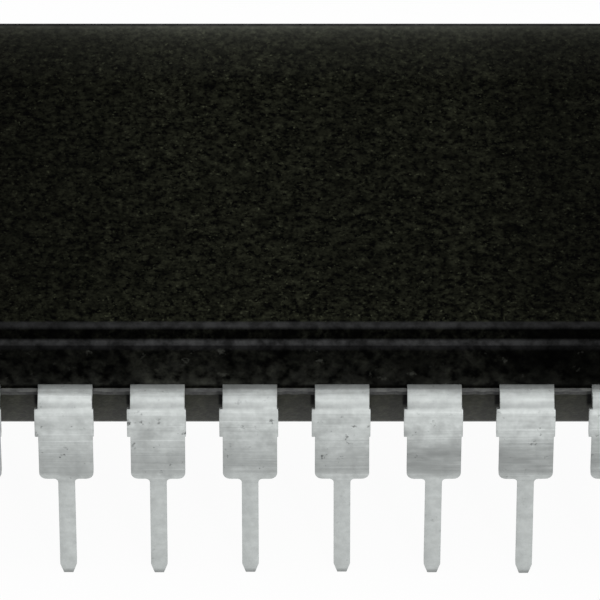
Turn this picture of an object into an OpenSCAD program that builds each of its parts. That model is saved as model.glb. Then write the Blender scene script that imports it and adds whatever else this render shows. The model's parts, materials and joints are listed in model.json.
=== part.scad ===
// Moulded dual in-line integrated circuit with 28 leads in two rows 15.24 mm apart.
// Millimetres. X runs along the body, Z is up, the lead tips stand on z = 0.
// Lead 1 is at the front left (-X, -Y); 1 to 14 run along the front, 15 to 28 back along the rear.
// The leads are shown as delivered, splayed a little outward.

/* [Body] */
// Length of the moulded body
body_l = 37.0; // [35:0.1:39]
// Width of the moulded body at the parting line
body_w = 13.84; // [12.4:0.01:14.6]
// Height from the middle of the lead frame to the top face
upper_h = 1.88; // [1.5:0.01:2.4]
// Height from the middle of the lead frame to the underside
lower_h = 1.8; // [1.5:0.01:2.4]
// Draft angle of the moulded sides
draft = 7; // [3:0.5:12]
// Chamfer round the top face and the underside
edge_chamfer = 0.36; // [0.1:0.01:0.6]
// Radius of the half-round notch at the lead 1 end
notch_r = 1.2; // [0.8:0.1:1.6]
// Depth of the notch below the top face
notch_depth = 1.0; // [0.4:0.1:1.4]
// Diameter of the dimple beside lead 1
dimple_d = 1.1; // [0.6:0.1:1.6]
// Depth of the dimple
dimple_depth = 0.12; // [0.05:0.01:0.3]
// Middle of the dimple from the end of the body
dimple_from_end = 2.2; // [1.6:0.1:4]
// Middle of the dimple from the side of the body
dimple_from_side = 2.1; // [1.6:0.1:3]
// Diameter of the round ejector marks
ejector_d = 3.0; // [2:0.1:4]
// Depth of the ejector marks
ejector_depth = 0.06; // [0.02:0.01:0.2]
// Middle of an ejector mark from the end of the body
ejector_from_end = 5.3; // [4:0.1:8]
// How far the web of compound between the leads stands out
web_out = 0.14; // [0.05:0.01:0.3]
// Thickness of that web, from the parting line down
web_t = 0.12; // [0.05:0.01:0.12]

/* [Leads] */
// Leads in each row
leads_per_row = 14; // [14:1:14]
// Distance from one lead to the next
pitch = 2.54; // [2.54:0.01:2.54]
// Distance between the two rows, at the middle of the bends
row_spacing = 15.24; // [15.24:0.01:15.24]
// Thickness of the lead frame
lead_t = 0.25; // [0.2:0.01:0.3]
// Width of the shoulder
shoulder_w = 1.5; // [1.2:0.05:1.7]
// Straight length of the shoulder below the bend
shoulder_l = 2.18; // [1.6:0.01:2.8]
// Width of the pin
pin_w = 0.46; // [0.38:0.01:0.55]
// Length of the pin below the shoulder
pin_l = 3.36; // [2.9:0.01:4]
// Outer radius of the bend
bend_r = 0.5; // [0.4:0.01:0.8]
// Outward splay of the row
splay = 5; // [0:0.5:8]
// Stub left by the sheared dambar on the -X side of a front lead
stub_left = 0.09; // [0.02:0.01:0.2]
// Stub on the other side
stub_right = 0.03; // [0.01:0.01:0.2]
// Length of the sheared stubs along the lead
stub_l = 0.87; // [0.4:0.01:1.2]

/* [Inside] */
// Size of the die pad along X
pad_l = 6.4; // [5:0.1:7]
// Size of the die pad along Y
pad_w = 5.0; // [4:0.1:6]
// How far the die pad is set below the fingers
downset = 0.25; // [0.1:0.01:0.4]
// Width of the tie bars
tie_w = 0.5; // [0.3:0.05:0.7]
// Size of the silicon die along X
die_l = 3.3; // [2:0.1:4]
// Size of the silicon die along Y
die_w = 2.1; // [1.5:0.1:3]
// Thickness of the silicon die
die_t = 0.38; // [0.2:0.01:0.5]
// Thickness of the die attach layer
attach_t = 0.03; // [0.02:0.01:0.05]
// Diameter of the bond wires
wire_d = 0.033; // [0.025:0.001:0.05]

/* [Hidden] */
$fn = 48;
row_n = leads_per_row;
// Middle of the bend profile: the outer face of the row stands half a thickness outside the row line
lead_out = row_spacing / 2 + lead_t / 2;
bend_y = lead_out - bend_r;
// Height of the lead frame's middle plane above the tips
leg = shoulder_l + pin_l;
frame_z = (bend_r - lead_t / 2) - (bend_r - lead_t) * sin(splay) + leg * cos(splay);
top_z = frame_z + upper_h;
bottom_z = frame_z - lower_h;
frame_top = frame_z + lead_t / 2;
side_y = body_w / 2;
end_x = body_l / 2;
// Radius of the outer corners of the shoulder, and of the fillet where the pin begins
corner_r = 0.2;
root_r = 0.12;
// Taper of the pin tip
tip_l = 0.3;
tip_w = 0.26;
// Angle round the bend at which the dambar stubs begin
stub_start = 58;
// Lead finger: wide anchor with its lock hole, narrow run and bonding tip
lock_d = 0.7;
lock_y = side_y - 0.85;
anchor_in = 1.35;
anchor_y = side_y - anchor_in;
finger_w = 0.8;
tip_finger_w = 0.44;
pad_gap = 0.35;
tip_pitch = 1.0;
tie_gap = 0.24;
// Where a finger turns: straight run behind the anchor, then the run in front of its tip.
// The stagger moves each turn away from its neighbour's.
root_run = 0.25;
root_stagger = 0.42;
side_run = 1.5;
side_stagger = 0.75;
end_run = 0.9;
end_stagger = 0.2;
past_pad = 0.28;
// Overlap of the shapes that make up one piece
overlap = 0.1;
// Die stack heights
pad_top = frame_top - downset;
attach_top = pad_top + attach_t;
die_top = attach_top + die_t;
attach_border = 0.12;
// Tie bar: root on the pad, straight run, and the jog up to the height of the fingers
tie_root = 0.5;
tie_run = 0.4;
tie_jog = 0.5;
// Bond pads on the die, and where the wires land on the fingers
bond_inset = 0.12;
bond_first = 0.14;
bond_side_pitch = 0.22;
bond_end_pitch = 0.5;
land_inset = 0.25;
// Bond wire shapes: on its arc the wire is a hair thicker, and each straight run reaches into it
arc_extra = 0.001;
arc_seat = 0.006;
ball_d = 0.09;
ball_h = 0.022;
loop_h = 0.2;
loop_r = 0.09;
wire_rise = loop_h - loop_r;
// Clearance of the compound round a wire
wire_gap = 0.006;
stitch_l = 0.12;
stitch_w = 0.07;
stitch_t = 0.024;
stitch_seat = 0.03;
// Height of the wire's middle over the finger where it runs into the stitch
landing = wire_d / 2 + wire_gap;

black = [0.075, 0.08, 0.07];
tin = [0.74, 0.76, 0.755];
copper = [0.72, 0.45, 0.3];
silver_epoxy = [0.62, 0.62, 0.6];
silicon = [0.3, 0.31, 0.36];
gold = [0.85, 0.67, 0.3];

function from_middle(k) = k - (row_n + 1) / 2;
function lead_x(k) = from_middle(k) * pitch;
function two_digits(k) = k < 10 ? str("0", k) : str(k);
lead_names = [for (k = [1:2 * row_n]) str("lead_", two_digits(k))];

// The four end fingers of each quarter come up to the side of the pad, evenly spaced from the tie bar
side_step = (pad_w / 2 + past_pad - (tie_w / 2 + tie_gap + tip_finger_w / 2)) / 3;

// Inner end of the finger of lead k of the front row (1 to 7 and, mirrored, 8 to 14):
// the points its middle line runs through from the body side to the tip.
function tip_y(k) = -(tie_w / 2 + tie_gap + tip_finger_w / 2 + (k - 1) * side_step);
function finger_half(k) =
    k <= 4
    ? [[lead_x(k), -anchor_y], [lead_x(k), -anchor_y + root_run + (4 - k) * root_stagger],
       [-pad_l / 2 - pad_gap - side_run - (4 - k) * side_stagger, tip_y(k)], [-pad_l / 2 - pad_gap, tip_y(k)]]
    : [[lead_x(k), -anchor_y], [lead_x(k), -anchor_y + root_run],
       [from_middle(k) * tip_pitch, -pad_w / 2 - pad_gap - end_run + (7 - k) * end_stagger],
       [from_middle(k) * tip_pitch, -pad_w / 2 - pad_gap]];
function mirror_x(pts) = [for (p = pts) [-p.x, p.y]];
function finger_path(k) = k <= row_n / 2 ? finger_half(k) : mirror_x(finger_half(row_n + 1 - k));

function unit(v) = v / norm(v);
function ahead(p, i) = i == len(p) - 1 ? unit(p[i] - p[i - 1]) : unit(p[i + 1] - p[i]);
function behind(p, i) = i == 0 ? unit(p[1] - p[0]) : unit(p[i] - p[i - 1]);
function turned(v) = [-v.y, v.x];
function mitre(p, i) = let (a = turned(behind(p, i)), n = unit(a + turned(ahead(p, i)))) n / (n * a);
function strip_outline(p, w) = concat(
    [for (i = [0:len(p) - 1]) p[i] + mitre(p, i) * w[i] / 2],
    [for (i = [len(p) - 1:-1:0]) p[i] - mitre(p, i) * w[i] / 2]);

// Flat part of lead k of the front row: stub outside the body, wide anchor with lock hole, finger
module flat_part(k) {
    difference() {
        union() {
            translate([lead_x(k) - shoulder_w / 2, -bend_y])
                square([shoulder_w, bend_y - anchor_y]);
            polygon(strip_outline(finger_path(k), [finger_w, finger_w, tip_finger_w, tip_finger_w]));
        }
        translate([lead_x(k), -lock_y]) circle(d = lock_d);
    }
}

// Side profile of the bent part, drawn outward along -X of the profile, from the flat stub to the tip
module bend_zone(a0, a1) {
    reach = 2 * bend_r;
    intersection() {
        difference() {
            circle(bend_r);
            circle(bend_r - lead_t);
        }
        polygon([[0, 0], [-reach * sin(a0), reach * cos(a0)],
                 [-reach * sin((a0 + a1) / 2) * 1.3, reach * cos((a0 + a1) / 2) * 1.3],
                 [-reach * sin(a1), reach * cos(a1)]]);
    }
}

module straight_zone(from, to) {
    rotate(-splay) translate([-bend_r, -to]) square([lead_t, to - from]);
}

// Outline of the bent part in its own plane: wide shoulder, rounded corners, pin with tapered tip
module lead_outline() {
    half = shoulder_w / 2;
    translate([-half, -shoulder_l + corner_r]) square([shoulder_w, shoulder_l - corner_r + 3 * bend_r]);
    translate([-half + corner_r, -shoulder_l]) square([shoulder_w - 2 * corner_r, corner_r + overlap]);
    for (s = [-1, 1])
        translate([s * (half - corner_r), -shoulder_l + corner_r]) circle(corner_r);
    difference() {
        translate([-pin_w / 2 - root_r, -shoulder_l - root_r])
            square([pin_w + 2 * root_r, root_r + overlap]);
        for (s = [-1, 1])
            translate([s * (pin_w / 2 + root_r), -shoulder_l - root_r]) circle(root_r);
    }
    polygon([[-pin_w / 2, -shoulder_l + overlap], [-pin_w / 2, -leg + tip_l], [-tip_w / 2, -leg],
             [tip_w / 2, -leg], [pin_w / 2, -leg + tip_l], [pin_w / 2, -shoulder_l + overlap]]);
}

// Bent part of one lead at x = 0: the profile swept across the lead, cut to the outline
module bent_part() {
    translate([0, -bend_y, frame_top - bend_r]) {
        intersection() {
            rotate([90, 0, 90]) linear_extrude(shoulder_w, center = true) {
                translate([0, bend_r - lead_t]) square([overlap, lead_t]);
                bend_zone(0, 90 - splay);
                straight_zone(0, leg);
            }
            rotate([-splay, 0, 0]) rotate([90, 0, 0])
                linear_extrude(5 * bend_r, center = true) lead_outline();
        }
        dambar_stub(-1, stub_left);
        dambar_stub(1, stub_right);
    }
}

// What is left of the dambar beside the shoulder, from the middle of the bend downward
module dambar_stub(side, out) {
    arc_l = (90 - splay - stub_start) * PI / 180 * (bend_r - lead_t / 2);
    translate([side * (shoulder_w / 2 + out / 2), 0, 0])
        rotate([90, 0, 90]) linear_extrude(out, center = true) {
            bend_zone(stub_start, 90 - splay);
            straight_zone(0, stub_l - arc_l);
        }
}

module front_lead(k) {
    color(tin) {
        translate([0, 0, frame_z - lead_t / 2]) linear_extrude(lead_t) flat_part(k);
        translate([lead_x(k), 0, 0]) bent_part();
    }
}

// The rear row is the front row turned half round
module lead(n) {
    if (n <= row_n) front_lead(n);
    else rotate([0, 0, 180]) front_lead(n - row_n);
}

// Die pad set down below the fingers, with a tie bar to each end of the body
module die_pad() {
    jog_from = pad_l / 2 + tie_run;
    jog_to = jog_from + tie_jog;
    color(copper) {
        translate([-pad_l / 2, -pad_w / 2, pad_top - lead_t]) cube([pad_l, pad_w, lead_t]);
        for (s = [0, 180]) rotate([0, 0, s]) {
            rotate([90, 0, 0]) linear_extrude(tie_w, center = true)
                polygon([[pad_l / 2 - tie_root, pad_top - lead_t], [jog_from, pad_top - lead_t],
                         [jog_to, frame_top - lead_t], [end_x, frame_top - lead_t], [end_x, frame_top],
                         [jog_to, frame_top], [jog_from, pad_top], [pad_l / 2 - tie_root, pad_top]]);
        }
    }
}

module die_attach() {
    l = die_l + 2 * attach_border;
    w = die_w + 2 * attach_border;
    color(silver_epoxy)
        translate([-l / 2, -w / 2, pad_top]) cube([l, w, attach_t]);
}

module silicon_die() {
    color(silicon)
        translate([-die_l / 2, -die_w / 2, attach_top]) cube([die_l, die_w, die_t]);
}

// Bond wire of front lead k: from the bond pad near the die's edge to the tip of the finger
function bond_half(k) = k <= 4
    ? [-die_l / 2 + bond_inset, -bond_first - (k - 1) * bond_side_pitch]
    : [from_middle(k) * bond_end_pitch, -die_w / 2 + bond_inset];
function land_half(k) = k <= 4
    ? [-pad_l / 2 - pad_gap - land_inset, tip_y(k)]
    : [from_middle(k) * tip_pitch, -pad_w / 2 - pad_gap - land_inset];
function bond_at(k) = k <= row_n / 2 ? bond_half(k) : mirror_x([bond_half(row_n + 1 - k)])[0];
function land_at(k) = k <= row_n / 2 ? land_half(k) : mirror_x([land_half(row_n + 1 - k)])[0];

// Side view of the wire, from its ball at [0, 0]: it rises, turns over on an arc and runs straight,
// tangent to the arc, down to the stitch
function wire_run(k) = norm(land_at(k) - bond_at(k));
function wire_reach(k) = [wire_run(k) - stitch_l / 2 - loop_r, landing - (die_top - frame_top) - wire_rise];
function wire_leave(k) = let (r = wire_reach(k)) atan2(r.y, r.x) + acos(loop_r / norm(r));

module at_bond(k) {
    a = bond_at(k);
    b = land_at(k);
    translate([a.x, a.y, die_top]) rotate([0, 0, atan2(b.y - a.y, b.x - a.x)]) children();
}

module bond_wire(k) {
    leave = wire_leave(k);
    reach = wire_reach(k);
    at_bond(k) {
        cylinder(d = ball_d, h = ball_h);
        cylinder(d = wire_d, h = wire_rise + arc_seat);
        translate([loop_r, 0, wire_rise]) rotate([90, 0, 0]) {
            rotate([0, 0, leave]) rotate_extrude(angle = 180 - leave)
                translate([loop_r, 0]) circle(d = wire_d + arc_extra);
            rotate([0, 0, leave]) translate([loop_r, arc_seat, 0]) rotate([90, 0, 0])
                cylinder(d = wire_d, h = arc_seat + sqrt(reach * reach - loop_r * loop_r) + stitch_seat);
        }
        translate([wire_run(k) - stitch_l / 2, -stitch_w / 2, frame_top - die_top])
            cube([stitch_l, stitch_w, stitch_t]);
    }
}

// Room in the compound round one wire: a flat-sided channel that follows it with a small clearance
module wire_room(k) {
    leave = wire_leave(k);
    reach = wire_reach(k);
    w = wire_d + 2 * wire_gap;
    stitch_room_h = stitch_t + landing + wire_d / 2 + wire_gap;
    arc = [for (i = [1:4]) let (a = 180 + (leave - 180) * i / 4)
        [loop_r + loop_r * cos(a), wire_rise + loop_r * sin(a)]];
    path = concat([[0, -ball_h], [0, wire_rise]], arc, [[loop_r + reach.x, wire_rise + reach.y]]);
    at_bond(k) {
        rotate([90, 0, 0]) linear_extrude(w, center = true)
            polygon(strip_outline(path, [for (p = path) w]));
        translate([0, 0, -ball_h])
            cylinder(d = ball_d + 4 * wire_gap, h = 2 * ball_h + wire_gap, $fn = 8);
        translate([wire_run(k) - stitch_l / 2 - wire_gap, -stitch_w / 2 - wire_gap,
                   frame_top - die_top - stitch_t])
            cube([stitch_l + 2 * wire_gap, stitch_w + 2 * wire_gap, stitch_room_h]);
    }
}

module bond_wires() {
    color(gold)
        for (s = [0, 180]) rotate([0, 0, s]) for (k = [1:row_n]) bond_wire(k);
}

// Section of the body across one axis: drafted sides and chamfers above and below the parting line
module body_section(half) {
    lean_up = (upper_h - edge_chamfer) * tan(draft);
    lean_down = (lower_h - edge_chamfer) * tan(draft);
    polygon([[-half, frame_z], [-half + lean_up, top_z - edge_chamfer],
             [-half + lean_up + edge_chamfer, top_z], [half - lean_up - edge_chamfer, top_z],
             [half - lean_up, top_z - edge_chamfer], [half, frame_z],
             [half - lean_down, bottom_z + edge_chamfer], [half - lean_down - edge_chamfer, bottom_z],
             [-half + lean_down + edge_chamfer, bottom_z], [-half + lean_down, bottom_z + edge_chamfer]]);
}

module body_block() {
    intersection() {
        rotate([90, 0, 90]) linear_extrude(body_l + overlap, center = true) body_section(side_y);
        rotate([90, 0, 0]) linear_extrude(body_w + overlap, center = true) body_section(end_x);
    }
}

// Strip of compound along each row of leads, which cut it into the webs between them
module webs() {
    for (s = [0, 180]) rotate([0, 0, s])
        translate([lead_x(1), -side_y - web_out, frame_z - web_t])
            cube([lead_x(row_n) - lead_x(1), web_out + overlap, web_t]);
}

module body_marks() {
    mark_x = end_x - ejector_from_end;
    translate([-end_x, 0, top_z - notch_depth]) cylinder(r = notch_r, h = notch_depth + overlap);
    translate([-end_x + dimple_from_end, -side_y + dimple_from_side, top_z - dimple_depth])
        cylinder(d = dimple_d, h = dimple_depth + overlap);
    for (x = [-mark_x, mark_x]) {
        translate([x, 0, top_z - ejector_depth]) cylinder(d = ejector_d, h = ejector_depth + overlap);
        translate([x, 0, bottom_z - overlap]) cylinder(d = ejector_d, h = ejector_depth + overlap);
    }
}

module moulded_body() {
    color(black)
        difference() {
            union() {
                body_block();
                webs();
            }
            body_marks();
            for (n = [1:2 * row_n]) lead(n);
            die_pad();
            die_attach();
            silicon_die();
            for (s = [0, 180]) rotate([0, 0, s]) for (k = [1:row_n]) wire_room(k);
        }
}

moulded_body();
for (n = [1:2 * row_n]) lead(n);
die_pad();
die_attach();
silicon_die();
bond_wires();
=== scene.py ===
# Dual in-line chip: a black moulded body over two rows of bent, tin-plated leads.
import json
import math
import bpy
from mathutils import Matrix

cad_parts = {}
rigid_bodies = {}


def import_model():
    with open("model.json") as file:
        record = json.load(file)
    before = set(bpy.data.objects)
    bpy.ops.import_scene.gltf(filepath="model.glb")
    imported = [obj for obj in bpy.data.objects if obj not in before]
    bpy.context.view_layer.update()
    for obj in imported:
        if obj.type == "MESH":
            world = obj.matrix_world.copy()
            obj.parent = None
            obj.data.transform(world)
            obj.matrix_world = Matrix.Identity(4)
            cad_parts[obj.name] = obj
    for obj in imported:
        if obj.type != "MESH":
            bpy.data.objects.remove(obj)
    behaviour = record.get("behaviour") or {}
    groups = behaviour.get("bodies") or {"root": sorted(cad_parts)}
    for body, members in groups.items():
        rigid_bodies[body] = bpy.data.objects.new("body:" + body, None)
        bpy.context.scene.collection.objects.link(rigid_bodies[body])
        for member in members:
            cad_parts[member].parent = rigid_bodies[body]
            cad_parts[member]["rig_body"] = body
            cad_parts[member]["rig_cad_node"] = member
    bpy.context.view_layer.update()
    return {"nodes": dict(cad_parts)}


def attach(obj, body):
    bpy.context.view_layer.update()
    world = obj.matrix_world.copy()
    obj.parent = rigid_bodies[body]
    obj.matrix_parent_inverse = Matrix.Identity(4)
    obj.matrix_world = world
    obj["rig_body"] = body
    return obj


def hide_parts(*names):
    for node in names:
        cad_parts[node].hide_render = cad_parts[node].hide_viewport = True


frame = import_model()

from types import SimpleNamespace

import bmesh
import bpy
from mathutils import Matrix, Vector, noise

MM = 0.001

# Sizes of the chip, as in the solids
BODY_L, BODY_W = 37.0 * MM, 13.84 * MM
UPPER_H, LOWER_H = 1.88 * MM, 1.8 * MM
DRAFT = math.radians(7)
CHAMFER = 0.36 * MM
ROW = 14
PITCH = 2.54 * MM
ROWS_APART = 15.24 * MM
LEAD_T = 0.25 * MM
SHOULDER_W, SHOULDER_L = 1.5 * MM, 2.18 * MM
PIN_W, PIN_L = 0.46 * MM, 3.36 * MM
BEND_R = 0.5 * MM
SPLAY = math.radians(5)
STUB_LEFT, STUB_RIGHT, STUB_L = 0.09 * MM, 0.03 * MM, 0.87 * MM
STUB_START = math.radians(58)
CORNER_R, ROOT_R = 0.2 * MM, 0.12 * MM
TIP_L, TIP_W = 0.3 * MM, 0.26 * MM
WEB_OUT, WEB_T = 0.14 * MM, 0.12 * MM
NOTCH_R, NOTCH_DEPTH = 1.2 * MM, 1.0 * MM
DIMPLE_R, DIMPLE_DEPTH = 0.55 * MM, 0.12 * MM
DIMPLE_FROM_END, DIMPLE_FROM_SIDE = 2.2 * MM, 2.1 * MM
EJECTOR_R, EJECTOR_DEPTH, EJECTOR_X = 1.5 * MM, 0.06 * MM, 13.2 * MM

# Places that follow from them
BEND_Y = (ROWS_APART + LEAD_T) / 2 - BEND_R
LEG_DROP = (SHOULDER_L + PIN_L) * math.cos(SPLAY)
FRAME_Z = (BEND_R - LEAD_T / 2) - (BEND_R - LEAD_T) * math.sin(SPLAY) + LEG_DROP
TOP_Z, BOTTOM_Z = FRAME_Z + UPPER_H, FRAME_Z - LOWER_H
BEND_Z = FRAME_Z + LEAD_T / 2 - BEND_R
DOWN = Vector((0, -math.sin(SPLAY), -math.cos(SPLAY)))
OUTWARD = Vector((0, -math.cos(SPLAY), math.sin(SPLAY)))
STRAIGHT_START = Vector((0, -BEND_Y, BEND_Z)) + OUTWARD * (BEND_R - LEAD_T / 2)
STUB_END = STUB_L - (math.pi / 2 - SPLAY - STUB_START) * (BEND_R - LEAD_T / 2)
UPPER_WALL, LOWER_WALL = UPPER_H - CHAMFER, LOWER_H - CHAMFER
LEAN_UP = UPPER_WALL * math.tan(DRAFT)
TOP_EDGE_Y = BODY_W / 2 - LEAN_UP - CHAMFER
TOP_EDGE_X = BODY_L / 2 - LEAN_UP - CHAMFER

# Finish that the solids leave out; each step of the crown has its width and its share of the rise
BODY_ROUND, LEAD_ROUND = 0.06 * MM, 0.03 * MM
NOTCH_ROUND, DIMPLE_ROUND = 0.12 * MM, 0.06 * MM
CROWN_H = 0.015 * MM
CROWN_STEPS = ((0.35 * MM, 0.6), (0.45 * MM, 0.3), (0.6 * MM, 0.1))
WEB_ROOT, WEB_PARTS = 0.3 * MM, 10
WEB_WEAR, WEB_WARP = 0.05 * MM, 0.012 * MM
SWAY, LEAN, DENT = 0.035 * MM, 0.05 * MM, 0.006 * MM
JOIN_Y = 6.7 * MM

# Noise that moves points: its fixed start, its waves per metre, and the steps from piece to piece
NOISE_START = 1
WEAR_WAVES_X, WEAR_WAVES_Z, WARP_WAVES, DENT_WAVES = 4200, 2500, 3000, 900
WEB_STEP, SWAY_STEP, LEAN_STEP, DENT_STEP = 3.1, 1.7, 2.3, 9.7
SWAY_ROW, LEAN_ROW = 0.3, 5.3

# Limits for picking and merging; a face looks along an axis if this much of its normal does
FACING = 0.9
NEAR = 0.02 * MM
ON_PLANE = 0.001 * MM
MERGE = 0.0001 * MM

# Sockets of a mix node that carry colours
COLOUR_A, COLOUR_B, COLOUR_OUT = 6, 7, 2

# Light and camera; the picture is a square
FLOOR_R = 0.9
FLOOR_TONE, FLOOR_SEEN = (0.86, 0.86, 0.86, 1), 0.96
SKY_TONE, SKY_POWER = (0.93, 0.96, 1.0, 1), 0.45
LAMPS = (("overhead", (0.05, 0.05, 0.5), (0, 0, 0), (0.7, 0.7), 2.0),
         ("right_key", (0.19, -0.45, 0.13), (0, 0, 0.005), (0.08, 0.08), 0.9))
VIEW_ANGLE, VIEW_DISTANCE = math.radians(42.6), 200.0 * MM
PICTURE_PX, PX_PER_MM = 600, 35.03
TARGET_X, TARGET_BELOW_FRAME = 0.11 * MM, 3.07 * MM
SENSOR_MM = 36.0


# Modelling helpers
def deselect_all():
    bpy.ops.object.select_all(action="DESELECT")


def make_active(piece):
    deselect_all()
    piece.select_set(True)
    bpy.context.view_layer.objects.active = piece


def name_and_apply(name):
    piece = bpy.context.active_object
    piece.name = piece.data.name = name
    bpy.ops.object.transform_apply(location=True, rotation=True, scale=True)
    return piece


def start_block(name, centre, size):
    """A cube at its size and place, ready to be shaped in edit mode."""
    deselect_all()
    bpy.ops.mesh.primitive_cube_add(size=1, location=centre, scale=size)
    return name_and_apply(name)


def start_round(name, centre, radius, depth, sides):
    deselect_all()
    bpy.ops.mesh.primitive_cylinder_add(vertices=sides, radius=radius, depth=depth, location=centre)
    return name_and_apply(name)


def edit(piece):
    make_active(piece)
    bpy.ops.object.mode_set(mode="EDIT")
    bpy.ops.mesh.select_all(action="DESELECT")


def leave_edit():
    bpy.ops.object.mode_set(mode="OBJECT")


def pick(piece, kind, test):
    """Selects the faces or edges that pass a test, and nothing else."""
    bpy.ops.mesh.select_mode(type="FACE" if kind == "faces" else "EDGE")
    bpy.ops.mesh.select_all(action="DESELECT")
    mesh = bmesh.from_edit_mesh(piece.data)
    for part in getattr(mesh, kind):
        if test(part):
            part.select_set(True)
    bmesh.update_edit_mesh(piece.data)


def extrude_by(step):
    bpy.ops.mesh.extrude_region_move(TRANSFORM_OT_translate={"value": step})


def resize_by(x, y):
    bpy.ops.transform.resize(value=(x, y, 1.0))


def round_picked(radius, parts):
    bpy.ops.mesh.bevel(offset=radius, segments=parts, affect="EDGES")


def merge_doubles():
    bpy.ops.mesh.select_all(action="SELECT")
    bpy.ops.mesh.remove_doubles(threshold=MERGE)


def cut_across(place, normal):
    bpy.ops.mesh.select_all(action="SELECT")
    bpy.ops.mesh.bisect(plane_co=place, plane_no=normal)


def apply_modifier(piece, kind, **values):
    make_active(piece)
    modifier = piece.modifiers.new(kind.title(), kind)
    for key, value in values.items():
        setattr(modifier, key, value)
    bpy.ops.object.modifier_apply(modifier=modifier.name)


def cut_or_add(piece, tool, operation):
    apply_modifier(piece, "BOOLEAN", object=tool, operation=operation, solver="EXACT")
    bpy.data.objects.remove(tool)


def join_into(piece, others):
    deselect_all()
    for other in others:
        other.select_set(True)
    piece.select_set(True)
    bpy.context.view_layer.objects.active = piece
    bpy.ops.object.join()


def smooth_by_angle(piece, degrees):
    make_active(piece)
    bpy.ops.object.shade_smooth_by_angle(angle=math.radians(degrees))


# Moulded body
def pick_flat(piece, sign):
    """The flat above (1) or below (-1)."""
    pick(piece, "faces", lambda f: f.normal.z * sign > FACING)


def draft_ends(piece, sign, height):
    """Leans the walls in towards the flat above (1) or below (-1), then adds its chamfer."""
    lean = height * math.tan(DRAFT)
    length, width = BODY_L - 2 * lean, BODY_W - 2 * lean
    pick_flat(piece, sign)
    resize_by(length / BODY_L, width / BODY_W)
    extrude_by((0, 0, sign * (CHAMFER - CROWN_H)))
    resize_by((length - 2 * CHAMFER) / length, (width - 2 * CHAMFER) / width)


def crown_flat(piece, sign):
    """The flat falls away by a hair towards its edges, as moulding compound does when it shrinks."""
    pick_flat(piece, sign)
    for width, share in CROWN_STEPS:
        bpy.ops.mesh.inset(thickness=width, depth=0)
        bpy.ops.transform.translate(value=(0, 0, sign * share * CROWN_H))


def make_body():
    low, high = BOTTOM_Z + CHAMFER, TOP_Z - CHAMFER
    body = start_block("body_moulding", (0, 0, (low + high) / 2), (BODY_L, BODY_W, high - low))
    edit(body)
    cut_across((0, 0, FRAME_Z), (0, 0, 1))
    for sign, height in ((1, UPPER_WALL), (-1, LOWER_WALL)):
        draft_ends(body, sign, height)
        crown_flat(body, sign)
    sharp = math.radians(20)
    pick(body, "edges", lambda e: len(e.link_faces) == 2 and e.calc_face_angle() > sharp)
    round_picked(BODY_ROUND, parts=3)
    leave_edit()
    cut_marks(body)
    add_webs(body)
    smooth_by_angle(body, degrees=24)
    return body


def cut_round(body, name, x, y, floor, radius, rim=0.0, facing=1, depth=1 * MM, sides=64):
    """A round recess with its floor at a given height, open above (facing 1) or below (facing -1)."""
    cutter = start_round(name, (x, y, floor + facing * depth / 2), radius, depth, sides)
    if rim:
        edit(cutter)
        pick(cutter, "edges", lambda e: all(abs(v.co.z - floor) < ON_PLANE for v in e.verts))
        round_picked(rim, parts=3)
        leave_edit()
    cut_or_add(body, cutter, "DIFFERENCE")


def cut_marks(body):
    """End notch, lead 1 dimple, and the shallow ejector marks above and below."""
    cut_round(body, "notch_cutter", -BODY_L / 2, 0,
              TOP_Z - NOTCH_DEPTH, NOTCH_R, NOTCH_ROUND, depth=2 * MM)
    cut_round(body, "dimple_cutter", -BODY_L / 2 + DIMPLE_FROM_END, -BODY_W / 2 + DIMPLE_FROM_SIDE,
              TOP_Z - DIMPLE_DEPTH, DIMPLE_R, DIMPLE_ROUND, sides=48)
    for x in (-EJECTOR_X, EJECTOR_X):
        for facing, flat in ((1, TOP_Z), (-1, BOTTOM_Z)):
            floor = flat - facing * EJECTOR_DEPTH
            cut_round(body, "ejector_cutter", x, 0, floor, EJECTOR_R, facing=facing)


def make_web(x0, x1, row, number):
    """One strip of compound between two leads, with an edge broken unevenly where it was trimmed."""
    depth = WEB_OUT + WEB_ROOT
    centre = ((x0 + x1) / 2, row * (BODY_W / 2 + WEB_OUT - depth / 2), FRAME_Z - WEB_T / 2)
    web = start_block(f"web_{number}", centre, (x1 - x0, depth, WEB_T))
    edit(web)
    for part in range(1, WEB_PARTS):
        cut_across((x0 + (x1 - x0) * part / WEB_PARTS, 0, 0), (1, 0, 0))
    leave_edit()
    for vertex in web.data.vertices:
        if abs(vertex.co.y) > BODY_W / 2 + WEB_OUT / 2:
            spot = Vector((vertex.co.x * WEAR_WAVES_X, number * WEB_STEP, vertex.co.z * WEAR_WAVES_Z))
            vertex.co.y += row * min(0, noise.noise(spot)) * WEB_WEAR
            vertex.co.z += noise.noise(vertex.co * WARP_WAVES) * WEB_WARP
    return web


def lead_x(k):
    """Middle of lead k of a row, counted from 0 at the notched end."""
    return (k - (ROW - 1) / 2) * PITCH


def add_webs(body):
    webs = []
    for row in (-1, 1):
        for k in range(ROW - 1):
            x = lead_x(k)
            webs.append(make_web(x + SHOULDER_W / 2, x + PITCH - SHOULDER_W / 2, row, len(webs)))
    join_into(webs[0], webs[1:])
    cut_or_add(body, webs[0], "UNION")


# Leads
def distance_down(point):
    """How far down the straight part of a lead a point lies."""
    return (point - STRAIGHT_START).dot(DOWN)


def bend_angle(point):
    """How far round the bend a point lies, from the flat part on."""
    return math.atan2(-(point.y + BEND_Y), point.z - BEND_Z)


def is_end(face):
    """Whether a face closes the bent part at its lower end."""
    return face.normal.dot(DOWN) > FACING and face.calc_center_median().y < -BEND_Y - LEAD_T


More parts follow.
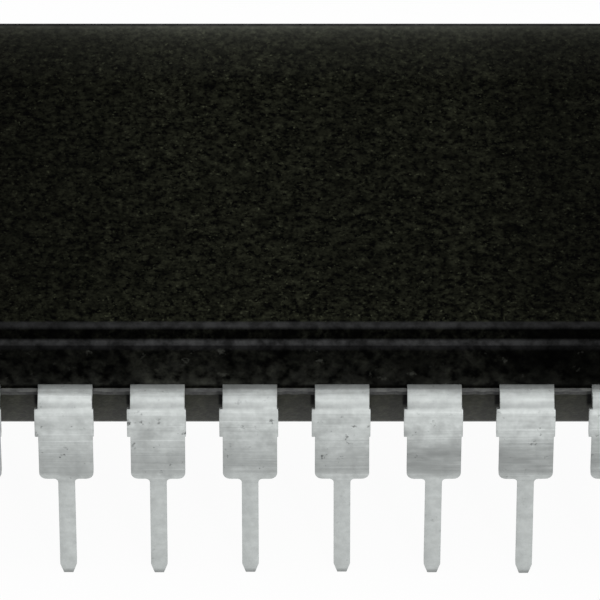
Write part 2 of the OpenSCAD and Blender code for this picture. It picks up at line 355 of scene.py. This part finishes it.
def make_lead():
    """Front lead at x = 0: flat stub, bend, wide shoulder with dambar stubs, and pin."""
    flat = BEND_Y - JOIN_Y
    lead = start_block("lead_pattern", (0, -JOIN_Y - flat / 2, FRAME_Z), (SHOULDER_W, flat, LEAD_T))
    edit(lead)
    for side in (-1, 1):
        cut_across((side * PIN_W / 2, 0, 0), (1, 0, 0))
    pick(lead, "faces", lambda f: f.normal.y < -FACING)
    bpy.ops.mesh.spin(steps=18, angle=math.pi / 2 - SPLAY, center=(0, -BEND_Y, BEND_Z), axis=(-1, 0, 0))
    for reach in (STUB_END, SHOULDER_L - STUB_END):
        pick(lead, "faces", is_end)
        extrude_by(DOWN * reach)
    pick(lead, "faces", lambda f: is_end(f) and abs(f.calc_center_median().x) < PIN_W / 3)
    extrude_by(DOWN * (PIN_L - TIP_L))
    extrude_by(DOWN * TIP_L)
    resize_by(TIP_W / PIN_W, 1)
    round_shoulder(lead)
    push_out_stubs(lead)
    merge_doubles()
    bpy.ops.mesh.normals_make_consistent(inside=False)
    leave_edit()
    apply_modifier(lead, "BEVEL", width=LEAD_ROUND, segments=2, limit_method="ANGLE",
                   angle_limit=math.radians(35), use_clamp_overlap=True)
    return lead


def round_shoulder(lead):
    """Rounds the shoulder's lower corners, and the corners where the pin leaves it."""
    def is_corner(edge, x):
        first, second = edge.verts[0].co, edge.verts[1].co
        at = (first + second) / 2
        through = abs((second - first).normalized().dot(OUTWARD)) > FACING
        return through and abs(abs(at.x) - x) < NEAR and abs(distance_down(at) - SHOULDER_L) < NEAR
    pick(lead, "edges", lambda e: is_corner(e, SHOULDER_W / 2))
    round_picked(CORNER_R, parts=5)
    pick(lead, "edges", lambda e: is_corner(e, PIN_W / 2))
    round_picked(ROOT_R, parts=3)


def push_out_stubs(lead):
    """Stubs of the sheared dambar, which stand out more on the left side than on the right."""
    for side, out in ((-1, STUB_LEFT), (1, STUB_RIGHT)):
        def is_beside(face):
            at = face.calc_center_median()
            if face.normal.x * side < FACING or abs(at.x) < SHOULDER_W / 2 - NEAR:
                return False
            if at.z > BEND_Z + NEAR:
                return bend_angle(at) > STUB_START
            return distance_down(at) < STUB_END
        pick(lead, "faces", is_beside)
        extrude_by((side * out, 0, 0))


def set_apart(piece, number, x):
    """Moves a copied lead to its place along the row, with a sway, a lean and dents of its own."""
    sway = noise.noise(Vector((number * SWAY_STEP, SWAY_ROW, 0.0))) * SWAY
    lean = noise.noise(Vector((number * LEAN_STEP, LEAN_ROW, 0.0))) * LEAN
    own = Vector((number * DENT_STEP, 0, 0))
    for vertex in piece.data.vertices:
        down = max(0.0, BEND_Z - vertex.co.z) / BEND_Z
        vertex.co.x += sway * down * down
        vertex.co.y += lean * down * down
        if vertex.co.y < -BEND_Y:
            vertex.co += noise.noise_vector(vertex.co * DENT_WAVES + own) * DENT
        vertex.co.x += x


def lead_from_pattern(pattern, number):
    """A copy of the pattern in its place, with the inner finger of its solid."""
    piece = pattern.copy()
    piece.data = pattern.data.copy()
    piece.name = piece.data.name = f"lead_metal_{number:02d}"
    bpy.context.scene.collection.objects.link(piece)
    set_apart(piece, number, lead_x((number - 1) % ROW))
    if number > ROW:
        piece.data.transform(Matrix.Rotation(math.pi, 4, "Z"))
    join_into(piece, [inner_finger(number)])
    smooth_by_angle(piece, degrees=38)
    return piece


def inner_finger(number):
    """The part of a lead's solid that lies inside the body, as a mesh of its own."""
    node = frame["nodes"][f"lead_{number:02d}"]
    finger = node.copy()
    finger.data = node.data.copy()
    finger.parent = None
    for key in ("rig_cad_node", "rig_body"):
        if key in finger:
            del finger[key]
    finger.name = finger.data.name = f"finger_{number:02d}"
    finger.data.materials.clear()
    bpy.context.scene.collection.objects.link(finger)
    side = 1 if number > ROW else -1
    edit(finger)
    merge_doubles()
    bpy.ops.mesh.bisect(plane_co=(0, side * JOIN_Y, 0), plane_no=(0, side, 0), use_fill=True,
                        clear_outer=True)
    leave_edit()
    return finger


# Shader helpers
def new_material(name):
    material = bpy.data.materials.new(name)
    material.use_nodes = True
    nodes, links = material.node_tree.nodes, material.node_tree.links
    return material, nodes, links, nodes["Principled BSDF"]


def put(nodes, kind, **values):
    node = nodes.new(kind)
    for key, value in values.items():
        setattr(node, key, value)
    return node


def grey(value, tint=(1.0, 1.0, 1.0)):
    return (value * tint[0], value * tint[1], value * tint[2], 1.0)


def group_shell(name, size_label, size_kind):
    """A group that turns a place and a size into a mask, which runs between two values of its noise."""
    tree = bpy.data.node_groups.new(name, "ShaderNodeTree")
    for label, kind in (("Vector", "NodeSocketVector"), (size_label, size_kind),
                        ("Low", "NodeSocketFloat"), ("High", "NodeSocketFloat")):
        tree.interface.new_socket(label, in_out="INPUT", socket_type=kind)
    tree.interface.new_socket("Mask", in_out="OUTPUT", socket_type="NodeSocketFloat")
    return tree, tree.nodes.new("NodeGroupInput"), tree.nodes.new("NodeGroupOutput")


def spread_noise(tree, source, texture, result):
    """Stretches the noise between Low and High into the mask from 0 to 1."""
    spread = put(tree.nodes, "ShaderNodeMapRange")
    for start, end in ((texture.outputs["Fac"], spread.inputs["Value"]),
                       (source.outputs["Low"], spread.inputs["From Min"]),
                       (source.outputs["High"], spread.inputs["From Max"]),
                       (spread.outputs["Result"], result.inputs["Mask"])):
        tree.links.new(start, end)


def make_speckle_group():
    """Fine grain: soft mask of light and dark points of a chosen size."""
    tree, source, result = group_shell("fine_speckle", "Per Metre", "NodeSocketFloat")
    texture = put(tree.nodes, "ShaderNodeTexNoise")
    texture.inputs["Detail"].default_value = 3.0
    texture.inputs["Roughness"].default_value = 0.65
    tree.links.new(source.outputs["Vector"], texture.inputs["Vector"])
    tree.links.new(source.outputs["Per Metre"], texture.inputs["Scale"])
    spread_noise(tree, source, texture, result)
    return tree


def make_streak_group():
    """Streaks across a strip: noise with its own number of waves per metre along X, Y and Z."""
    tree, source, result = group_shell("cross_streaks", "Stretch", "NodeSocketVector")
    stretch = put(tree.nodes, "ShaderNodeVectorMath", operation="MULTIPLY")
    texture = put(tree.nodes, "ShaderNodeTexNoise")
    texture.inputs["Scale"].default_value = 1.0
    texture.inputs["Detail"].default_value = 2.0
    tree.links.new(source.outputs["Vector"], stretch.inputs[0])
    tree.links.new(source.outputs["Stretch"], stretch.inputs[1])
    tree.links.new(stretch.outputs[0], texture.inputs["Vector"])
    spread_noise(tree, source, texture, result)
    return tree


SPECKLE = make_speckle_group()
STREAKS = make_streak_group()


def make_masks(nodes, links, place, tree, size_label, table):
    """A mask for each row of a table: its size, and the values of the noise at which it is 0 and 1."""
    masks = {}
    for name, (size, low, high) in table.items():
        node = put(nodes, "ShaderNodeGroup", node_tree=tree)
        for label, value in ((size_label, size), ("Low", low), ("High", high)):
            node.inputs[label].default_value = value
        links.new(place, node.inputs["Vector"])
        masks[name] = node.outputs["Mask"]
    return masks


def math_node(nodes, links, operation, *values):
    """One sum with sockets or numbers."""
    node = put(nodes, "ShaderNodeMath", operation=operation)
    for socket, value in zip(node.inputs, values):
        if isinstance(value, (int, float)):
            socket.default_value = value
        else:
            links.new(value, socket)
    return node.outputs[0]


def mix_colours(nodes, links, mask, first, second):
    """Blend of two colours, each a tuple or a socket, by a mask."""
    mix = put(nodes, "ShaderNodeMix", data_type="RGBA")
    links.new(mask, mix.inputs["Factor"])
    for socket, value in ((mix.inputs[COLOUR_A], first), (mix.inputs[COLOUR_B], second)):
        if isinstance(value, tuple):
            socket.default_value = value
        else:
            links.new(value, socket)
    return mix.outputs[COLOUR_OUT]


def blend_colours(nodes, links, kind, first, second):
    mix = put(nodes, "ShaderNodeMix", data_type="RGBA", blend_type=kind)
    mix.inputs["Factor"].default_value = 1.0
    links.new(first, mix.inputs[COLOUR_A])
    links.new(second, mix.inputs[COLOUR_B])
    return mix.outputs[COLOUR_OUT]


def vary(nodes, links, colour, mask, low, high):
    """The colour times a tone that goes from low to high with the mask."""
    tone = mix_colours(nodes, links, mask, low, high)
    return blend_colours(nodes, links, "MULTIPLY", colour, tone)


def band_mask(nodes, links, value, low, high, start=0.0, end=1.0):
    """Goes from start at low to end at high; low may be the larger of the two."""
    spread = put(nodes, "ShaderNodeMapRange")
    for label, number in (("From Min", low), ("From Max", high), ("To Min", start), ("To Max", end)):
        spread.inputs[label].default_value = number
    links.new(value, spread.inputs["Value"])
    return spread.outputs["Result"]


def line_mask(nodes, links, distance, place, width):
    """1 on a line at a given distance, fading to 0 at half its width each side."""
    off = math_node(nodes, links, "SUBTRACT", distance, place)
    return band_mask(nodes, links, math_node(nodes, links, "ABSOLUTE", off), width / 2, width / 5)


def ramp(nodes, links, value, points, origin=0.0):
    """Grey that follows straight lines between (place, tone) points, places in mm from the origin."""
    first, last = points[0][0], points[-1][0]
    share = band_mask(nodes, links, value, origin + first * MM, origin + last * MM)
    node = put(nodes, "ShaderNodeValToRGB")
    stops = node.color_ramp.elements
    stops[0].color, stops[1].color = grey(points[0][1]), grey(points[-1][1])
    for place, tone in points[1:-1]:
        stops.new((place - first) / (last - first)).color = grey(tone)
    links.new(share, node.inputs["Fac"])
    return node.outputs["Color"]


def add_bump(nodes, links, shader, height, strength, distance, normal=None):
    bump = put(nodes, "ShaderNodeBump")
    bump.inputs["Strength"].default_value = strength
    bump.inputs["Distance"].default_value = distance
    links.new(height, bump.inputs["Height"])
    if normal is not None:
        links.new(normal, bump.inputs["Normal"])
    links.new(bump.outputs["Normal"], shader.inputs["Normal"])
    return bump.outputs["Normal"]


def object_place(nodes):
    return put(nodes, "ShaderNodeTexCoord").outputs["Object"]


def find_place(nodes, links, level):
    """Place of a point as a vector and as X and Y, its height over a level, and how far it is across."""
    vector = object_place(nodes)
    split = put(nodes, "ShaderNodeSeparateXYZ")
    links.new(vector, split.inputs["Vector"])
    x, y, z = (split.outputs[axis] for axis in "XYZ")
    height = math_node(nodes, links, "SUBTRACT", z, level)
    across = math_node(nodes, links, "ABSOLUTE", y)
    return SimpleNamespace(vector=vector, x=x, y=y, height=height, across=across)


# Moulding compound

# Grain: points per metre, and the values of the noise at which the mask is 0 and 1
COMPOUND_GRAIN = {
    "fine": (6500.0, 0.38, 0.69),
    "points": (9000.0, 0.60, 0.74),
    "clumps": (2600.0, 0.36, 0.64),
    "dust": (2300.0, 0.64, 0.72),
    "clouds": (800.0, 0.38, 0.62),
}
OLIVE, WARM, PLAIN = (1.0, 1.06, 0.64), (1.0, 1.03, 0.84), (1.0, 1.02, 0.86)
SKIN, FLASH = (1.0, 1.03, 0.68), (1.0, 1.01, 0.95)
# Tones as (mm, tone): painted light by Y from the top's front edge and a painted reflection from its back
# edge, then painted shade by X along the chip
PAINTED_FRONT_LIGHT = ((0.0, 1.28), (1.0, 1.12), (2.0, 1.0))
PAINTED_BACK_REFLECTION = ((-2.6, 0.0), (-1.97, 0.0028), (-1.34, 0.0052), (-0.87, 0.0095), (-0.54, 0.0168),
             (-0.28, 0.0310), (-0.11, 0.060), (0.0, 0.080))
PAINTED_SHADE_ALONG = ((-19, 0.85), (-14, 1.05), (-8.4, 0.67), (-6.7, 0.75), (-3.6, 1.14), (-0.4, 1.12), (1.2, 1.0),
          (5.0, 1.0), (6.8, 0.64), (8.8, 0.64), (11.5, 0.95), (15, 1.1), (19, 0.85))
# Painted shade by X along the upper walls
PAINTED_WALL_SHADE = ((-19, 1.0), (5.0, 1.0), (6.4, 0.6), (8.8, 0.6), (11.5, 1.1), (19, 1.0))
# Tones and shine by height over the middle of the lead frame; the walls' tones are lighter towards their
# foot, with a painted shadow line along the parting
WALL_FOOT_AND_SHADOW_LINE = ((0.0, 0.0), (0.07, 0.0), (0.15, 0.0088), (0.35, 0.0056), (0.63, 0.0034), (0.98, 0.0018),
             (1.38, 0.0016), (1.5, 0.0))
COMPOUND_SHINE = ((-2.0, 0.3), (-1.8, 0.3), (-1.4, 0.22), (-0.1, 0.07), (0.02, 0.03), (0.35, 0.006),
                  (2.0, 0.006))
# Painted highlights on the chamfer's edges: what is measured, where the line lies, its tone, its width
# and how it varies
EDGE_HIGHLIGHTS = (("height", UPPER_WALL - 0.09 * MM, 0.0072, 0.36 * MM, 0.5),
              ("out", -0.03 * MM, 0.020, 0.26 * MM, 0.4),
              ("height", UPPER_WALL - 0.01 * MM, 0.023, 0.20 * MM, 0.55))
# Painted shadow beside each lead: its middle from the shoulder's side, its width, its foot and its end
SHADOW_OUT, SHADOW_W = 0.05 * MM, 0.20 * MM
SHADOW_FOOT, SHADOW_END = (-0.85 * MM, -0.65 * MM), (17.9 * MM, 17.7 * MM)
# Tone and shine in the painted shadow beside each lead
SHADOW_TONE, SHADOW_SHINE = grey(0.005), grey(0.02)


def compound_place(nodes, links):
    """Place on the body, with its height over the lead frame and its distance out from the top's edge."""
    at = find_place(nodes, links, FRAME_Z)
    at.ahead = math_node(nodes, links, "ABSOLUTE", at.x)
    at.out = math_node(nodes, links, "MAXIMUM",
                       math_node(nodes, links, "SUBTRACT", at.across, TOP_EDGE_Y),
                       math_node(nodes, links, "SUBTRACT", at.ahead, TOP_EDGE_X))
    at.below = band_mask(nodes, links, at.height, 0.01 * MM, 0.0)
    return at


def shadow_beside_leads(nodes, links, at):
    """Mask of the painted shadow on the skin at the dambar side of each lead."""
    row_side = math_node(nodes, links, "SIGN", at.y)
    turned = math_node(nodes, links, "MULTIPLY", at.x, row_side)
    # Leads stand half a pitch off the middle, so X moves by that before it repeats from lead to lead
    moved = math_node(nodes, links, "ADD", turned, PITCH / 2)
    local = math_node(nodes, links, "WRAP", moved, PITCH / 2, -PITCH / 2)
    lead_shadow = line_mask(nodes, links, local, SHOULDER_W / 2 + SHADOW_OUT, SHADOW_W)
    foot = band_mask(nodes, links, at.height, *SHADOW_FOOT)
    end = band_mask(nodes, links, at.ahead, *SHADOW_END)
    for limit in (at.below, foot, end):
        lead_shadow = math_node(nodes, links, "MULTIPLY", lead_shadow, limit)
    return lead_shadow


def top_colour(nodes, links, at, grain):
    """Spark-eroded grain of the top and the chamfer, with painted light at its front edge and a painted
    reflection at its back.
    """
    colour = mix_colours(nodes, links, grain["fine"], grey(0.0001, OLIVE), grey(0.0116, OLIVE))
    colour = mix_colours(nodes, links, grain["points"], colour, grey(0.030, OLIVE))
    colour = vary(nodes, links, colour, grain["clumps"], grey(0.5), grey(1.5))
    # Painted light along the top's front edge
    front = ramp(nodes, links, at.y, PAINTED_FRONT_LIGHT, -TOP_EDGE_Y)
    colour = blend_colours(nodes, links, "MULTIPLY", colour, front)
    # Painted reflection along the top's back edge
    back_reflection = ramp(nodes, links, at.y, PAINTED_BACK_REFLECTION, TOP_EDGE_Y)
    back_reflection = vary(nodes, links, back_reflection, grain["fine"], grey(0.8, WARM), grey(1.2, WARM))
    return blend_colours(nodes, links, "ADD", colour, back_reflection)


def wall_colour(nodes, links, at, grain):
    """Upper walls: nearly black, a little lighter towards their foot with a painted shadow line along the
    parting, cloudy, with painted shade along the chip and a few light specks.
    """
    colour = mix_colours(nodes, links, grain["fine"], grey(0.0), grey(0.0036, PLAIN))
    # Lighter towards the foot, with a painted shadow line along the parting
    foot = ramp(nodes, links, at.height, WALL_FOOT_AND_SHADOW_LINE)
    colour = blend_colours(nodes, links, "ADD", colour, foot)
    colour = vary(nodes, links, colour, grain["clumps"], grey(0.1, PLAIN), grey(1.9, PLAIN))
    colour = vary(nodes, links, colour, grain["clouds"], grey(0.5), grey(1.5))
    # Painted shade along the chip
    painted_shade = ramp(nodes, links, at.x, PAINTED_WALL_SHADE)
    colour = blend_colours(nodes, links, "MULTIPLY", colour, painted_shade)
    under_chamfer = band_mask(nodes, links, at.height, UPPER_WALL, UPPER_WALL - 0.1 * MM)
    specks = math_node(nodes, links, "MULTIPLY", grain["dust"], under_chamfer)
    return mix_colours(nodes, links, specks, colour, grey(0.024, PLAIN))


def add_edge_highlights(nodes, links, at, grain, colour):
    """Painted highlights as lighter lines along the chamfer's upper and lower edges."""
    upper = band_mask(nodes, links, at.height, 0.2 * MM, 0.5 * MM)
    for measure, place, tone, width, change in EDGE_HIGHLIGHTS:
        line = line_mask(nodes, links, getattr(at, measure), place, width)
        line = math_node(nodes, links, "MULTIPLY", line, upper)
        highlight = mix_colours(nodes, links, grain["clumps"],
                           grey((1 - change) * tone), grey((1 + change) * tone))
        colour = mix_colours(nodes, links, line, colour, highlight)
    return colour


def web_colour(nodes, links, at, grain):
    """Webs between the leads: pale where they were trimmed, and paler on top."""
    edge = mix_colours(nodes, links, grain["fine"], grey(0.046), grey(0.074, FLASH))
    top = mix_colours(nodes, links, grain["clumps"], grey(0.10), grey(0.175, FLASH))
    is_top = band_mask(nodes, links, at.height, -0.008 * MM, -0.002 * MM)
    return mix_colours(nodes, links, is_top, edge, top)


def make_compound():
    """Black moulding compound: spark-eroded grain above the parting line, a smoother skin below it."""
    material, nodes, links, shader = new_material("moulding_compound")
    at = compound_place(nodes, links)
    grain = make_masks(nodes, links, at.vector, SPECKLE, "Per Metre", COMPOUND_GRAIN)
    lead_shadow = shadow_beside_leads(nodes, links, at)

    on_wall = band_mask(nodes, links, at.out, 0.0, 0.02 * MM)
    colour = mix_colours(nodes, links, on_wall, top_colour(nodes, links, at, grain),
                         wall_colour(nodes, links, at, grain))
    # Painted highlights along the chamfer's edges
    colour = add_edge_highlights(nodes, links, at, grain, colour)
    # Painted shade along the chip
    painted_shade = ramp(nodes, links, at.x, PAINTED_SHADE_ALONG)
    colour = blend_colours(nodes, links, "MULTIPLY", colour, painted_shade)
    skin = mix_colours(nodes, links, grain["fine"], grey(0.0145, SKIN), grey(0.0305, SKIN))
    # Painted shadow beside each lead
    skin = mix_colours(nodes, links, lead_shadow, skin, SHADOW_TONE)
    colour = mix_colours(nodes, links, at.below, colour, skin)
    on_web = band_mask(nodes, links, at.across, BODY_W / 2 + 0.002 * MM, BODY_W / 2 + 0.01 * MM)
    colour = mix_colours(nodes, links, on_web, colour, web_colour(nodes, links, at, grain))
    links.new(colour, shader.inputs["Base Color"])

    shine = ramp(nodes, links, at.height, COMPOUND_SHINE)
    # Less shine in the painted shadow beside each lead
    shine = mix_colours(nodes, links, lead_shadow, shine, SHADOW_SHINE)
    links.new(shine, shader.inputs["Specular IOR Level"])
    rough = band_mask(nodes, links, at.height, 0.0, 0.3 * MM, 0.3, 0.5)
    links.new(rough, shader.inputs["Roughness"])
    add_bump(nodes, links, shader, grain["fine"], 0.35, 0.01 * MM)
    return material


# Tin plate

# Grain as for the compound; streaks have waves per metre along X, Y and Z in place of points per metre
TIN_GRAIN = {
    "smudges": (1300.0, 0.45, 0.72),
    "pits": (3400.0, 0.64, 0.74),
    "mottle": (4200.0, 0.35, 0.65),
}
TIN_STREAKS = {
    "rolled": ((250.0, 3500.0, 3500.0), 0.36, 0.66),
    "ridges": ((120.0, 5200.0, 5200.0), 0.42, 0.60),
    "scuffs": ((1300.0, 2600.0, 4200.0), 0.20, 0.62),
}
TIN = (0.955, 1.0, 0.985)
# Tones by height over the bend's middle: a darker cut tip on the pin, then painted light and shade down
# the shoulder and painted highlights in bands round the bend
BEND_LIGHT_AND_SHADE = ((-6.0, 0.38), (-5.5, 0.38), (-5.4, 0.48), (-5.32, 0.69), (-2.16, 0.68), (-2.1, 0.73),
          (-1.98, 0.70), (-1.88, 0.57), (-1.5, 0.60), (-1.2, 0.66), (-0.8, 0.73), (-0.34, 0.76),
          (-0.29, 0.80), (-0.21, 0.80), (-0.17, 0.76), (0.03, 0.74), (0.08, 0.74), (0.20, 0.68),
          (0.27, 0.58), (0.31, 0.50), (0.41, 0.56), (0.43, 0.61), (0.47, 0.61), (0.485, 0.69),
          (0.498, 0.86), (0.6, 0.86))
# Tones by distance from the middle plane: painted shade, darker on the flat part close to the body and
# again round the start of the bend
SHADE_NEAR_BODY = ((6.9, 0.66), (7.05, 0.70), (7.14, 1.0), (7.24, 0.93), (7.31, 0.70), (7.4, 0.70))
# How strong the marks are by height: full on the shoulder, weaker round the bend and faint on the pin
MARKED = ((-2.4, 0.25), (-1.9, 1.0), (-0.2, 1.0), (0.1, 0.6), (0.45, 0.4), (0.5, 0.4))
# Scuffs lie low on the shoulder, and are heaviest on the leads right of the middle
SCUFFED_HEIGHT = ((-2.05, 0.0), (-1.9, 0.5), (-1.55, 1.0), (-1.2, 1.0), (-0.8, 0.3), (-0.6, 0.0))
SCUFFED_LENGTH = ((-19, 0.5), (-9, 0.25), (1.5, 0.25), (3.0, 1.0), (7.2, 1.0), (9.5, 0.4), (19, 0.3))


def plate_colour(nodes, links, at, grain, streaks, marked):
    """Painted light and shade of the bent strip, under the rolled streaks and the mottle of the plating.
    """
    # Painted highlights and shade round the bend and down the shoulder
    lit_bands = ramp(nodes, links, at.height, BEND_LIGHT_AND_SHADE)
    # Painted shade on the flat part close to the body
    clear = ramp(nodes, links, at.across, SHADE_NEAR_BODY)
    tone = blend_colours(nodes, links, "MULTIPLY", lit_bands, clear)
    streaked = math_node(nodes, links, "MULTIPLY", streaks["rolled"], marked)
    colour = vary(nodes, links, tone, streaked, grey(1.03, TIN), grey(0.90, TIN))
    return vary(nodes, links, colour, grain["mottle"], grey(0.92), grey(1.06))


def scuff_mask(nodes, links, at, scuffs):
    low_face = ramp(nodes, links, at.height, SCUFFED_HEIGHT)
    lengthways = ramp(nodes, links, at.x, SCUFFED_LENGTH)
    scuffs = math_node(nodes, links, "MULTIPLY", scuffs, low_face)
    return math_node(nodes, links, "MULTIPLY", scuffs, lengthways)


def make_tin():
    """Matte tin plate: painted highlight bands round the bend, rolled streaks, scuffs, smudges and dark
    pits.
    """
    material, nodes, links, shader = new_material("tinned_lead")
    at = find_place(nodes, links, BEND_Z)
    grain = make_masks(nodes, links, at.vector, SPECKLE, "Per Metre", TIN_GRAIN)
    streaks = make_masks(nodes, links, at.vector, STREAKS, "Stretch", TIN_STREAKS)
    marked = ramp(nodes, links, at.height, MARKED)

    colour = plate_colour(nodes, links, at, grain, streaks, marked)
    smudged = math_node(nodes, links, "MULTIPLY", grain["smudges"], marked)
    colour = mix_colours(nodes, links, smudged, colour, grey(0.34, TIN))
    scuffed = scuff_mask(nodes, links, at, streaks["scuffs"])
    colour = mix_colours(nodes, links, scuffed, colour, grey(0.27, TIN))
    pitted = math_node(nodes, links, "MULTIPLY", grain["pits"], marked)
    colour = mix_colours(nodes, links, pitted, colour, grey(0.12, TIN))
    links.new(colour, shader.inputs["Base Color"])

    shader.inputs["Metallic"].default_value = 1.0
    rough = band_mask(nodes, links, streaks["rolled"], 0.0, 1.0, 0.52, 0.62)
    links.new(rough, shader.inputs["Roughness"])
    ridged = math_node(nodes, links, "MULTIPLY", streaks["ridges"], marked)
    ridged_normal = add_bump(nodes, links, shader, ridged, 0.4, 0.02 * MM)
    add_bump(nodes, links, shader, smudged, 0.3, 0.02 * MM, ridged_normal)
    return material


# Sealed inner pieces

COPPER, BLUISH = (1.2, 0.75, 0.5), (1.0, 1.05, 1.3)
GOLD, DARK_GOLD = (0.85, 0.62, 0.22, 1), (0.75, 0.52, 0.18, 1)
# Node, material, its two tones, metallic, roughness and points of grain per metre
INNER = (("die_pad", "frame_copper", grey(0.6, COPPER), grey(0.5, COPPER), 1.0, 0.35, 3000.0),
         ("die_attach", "silver_epoxy", grey(0.5), grey(0.62), 0.3, 0.55, 9000.0),
         ("silicon_die", "silicon", grey(0.2, BLUISH), grey(0.28, BLUISH), 0.6, 0.18, 4000.0),
         ("bond_wires", "gold_wire", GOLD, DARK_GOLD, 1.0, 0.25, 9000.0))


def make_inner(name, first, second, metallic, roughness, per_metre):
    """Finish of a sealed inner piece: two tones in fine grain."""
    material, nodes, links, shader = new_material(name)
    table = {"fine": (per_metre, 0.35, 0.75)}
    grain = make_masks(nodes, links, object_place(nodes), SPECKLE, "Per Metre", table)
    colour = mix_colours(nodes, links, grain["fine"], first, second)
    links.new(colour, shader.inputs["Base Color"])
    shader.inputs["Metallic"].default_value = metallic
    shader.inputs["Roughness"].default_value = roughness
    add_bump(nodes, links, shader, grain["fine"], 0.2, 0.005 * MM)
    return material


def dress(piece, material):
    piece.data.materials.clear()
    piece.data.materials.append(material)


# Floor and light
def seen_by_eye(nodes, links, share):
    """Share for camera, mirror and glass rays, and 0 for the light that falls on the chip."""
    path = put(nodes, "ShaderNodeLightPath")
    total = math_node(nodes, links, "ADD", path.outputs["Is Camera Ray"], path.outputs["Is Glossy Ray"])
    total = math_node(nodes, links, "ADD", total, path.outputs["Is Transmission Ray"])
    total.node.use_clamp = True
    return math_node(nodes, links, "MULTIPLY", total, share)


def mix_shaders(nodes, links, mask, first, second, result):
    mix = put(nodes, "ShaderNodeMixShader")
    for start, end in ((mask, mix.inputs[0]), (first.outputs[0], mix.inputs[1]),
                       (second.outputs[0], mix.inputs[2]), (mix.outputs[0], result.inputs["Surface"])):
        links.new(start, end)


def make_floor():
    deselect_all()
    bpy.ops.mesh.primitive_circle_add(vertices=96, radius=FLOOR_R, fill_type="NGON", location=(0, 0, 0))
    floor = bpy.context.active_object
    floor.name = "floor"
    material, nodes, links, shader = new_material("floor_white")
    shader.inputs["Base Color"].default_value = FLOOR_TONE
    shader.inputs["Roughness"].default_value = 0.9
    shader.inputs["Specular IOR Level"].default_value = 0.0
    glow = put(nodes, "ShaderNodeEmission")
    glow.inputs["Strength"].default_value = 1.0
    seen = seen_by_eye(nodes, links, FLOOR_SEEN)
    mix_shaders(nodes, links, seen, shader, glow, nodes["Material Output"])
    dress(floor, material)


def make_sky(nodes, tone, strength):
    sky = put(nodes, "ShaderNodeBackground")
    sky.inputs["Color"].default_value = tone
    sky.inputs["Strength"].default_value = strength
    return sky


def make_world():
    """A soft cool light from all round, which the eye sees as plain white."""
    world = bpy.data.worlds.new("studio")
    bpy.context.scene.world = world
    world.use_nodes = True
    nodes, links = world.node_tree.nodes, world.node_tree.links
    nodes.clear()
    soft, white = make_sky(nodes, SKY_TONE, SKY_POWER), make_sky(nodes, (1, 1, 1, 1), 1.0)
    seen = seen_by_eye(nodes, links, 1.0)
    mix_shaders(nodes, links, seen, soft, white, put(nodes, "ShaderNodeOutputWorld"))


def make_lamp(name, place, target, size, power):
    data = bpy.data.lights.new(name, "AREA")
    data.shape = "RECTANGLE"
    data.size, data.size_y = size
    data.energy = power
    lamp = bpy.data.objects.new(name, data)
    bpy.context.scene.collection.objects.link(lamp)
    lamp.visible_camera = False
    lamp.location = place
    lamp.rotation_euler = (Vector(target) - Vector(place)).to_track_quat("-Z", "Y").to_euler()


def make_camera():
    """The photograph's view: straight on to the front row, from above."""
    ahead = Vector((0, math.cos(VIEW_ANGLE), -math.sin(VIEW_ANGLE)))
    target = Vector((TARGET_X, 0, FRAME_Z - TARGET_BELOW_FRAME))
    data = bpy.data.cameras.new("camera")
    data.sensor_width = SENSOR_MM
    data.lens = SENSOR_MM * (VIEW_DISTANCE / MM) / (PICTURE_PX / PX_PER_MM)
    data.clip_start, data.clip_end = 0.01, 10
    camera = bpy.data.objects.new("camera", data)
    bpy.context.scene.collection.objects.link(camera)
    camera.location = target - ahead * VIEW_DISTANCE
    camera.rotation_euler = ahead.to_track_quat("-Z", "Y").to_euler()
    bpy.context.scene.camera = camera


# The whole scene
def add_body(compound):
    body = make_body()
    dress(body, compound)
    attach(body, "root")
    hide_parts("moulded_body")


def add_leads(tin):
    pattern = make_lead()
    for number in range(1, 2 * ROW + 1):
        lead = lead_from_pattern(pattern, number)
        dress(lead, tin)
        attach(lead, "root")
        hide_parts(f"lead_{number:02d}")
    bpy.data.objects.remove(pattern)


def main():
    noise.seed_set(NOISE_START)
    make_camera()
    add_body(make_compound())
    add_leads(make_tin())
    for node, *finish in INNER:
        dress(frame["nodes"][node], make_inner(*finish))
    make_floor()
    make_world()
    for lamp in LAMPS:
        make_lamp(*lamp)
    bpy.context.scene.view_settings.view_transform = "Standard"


main()
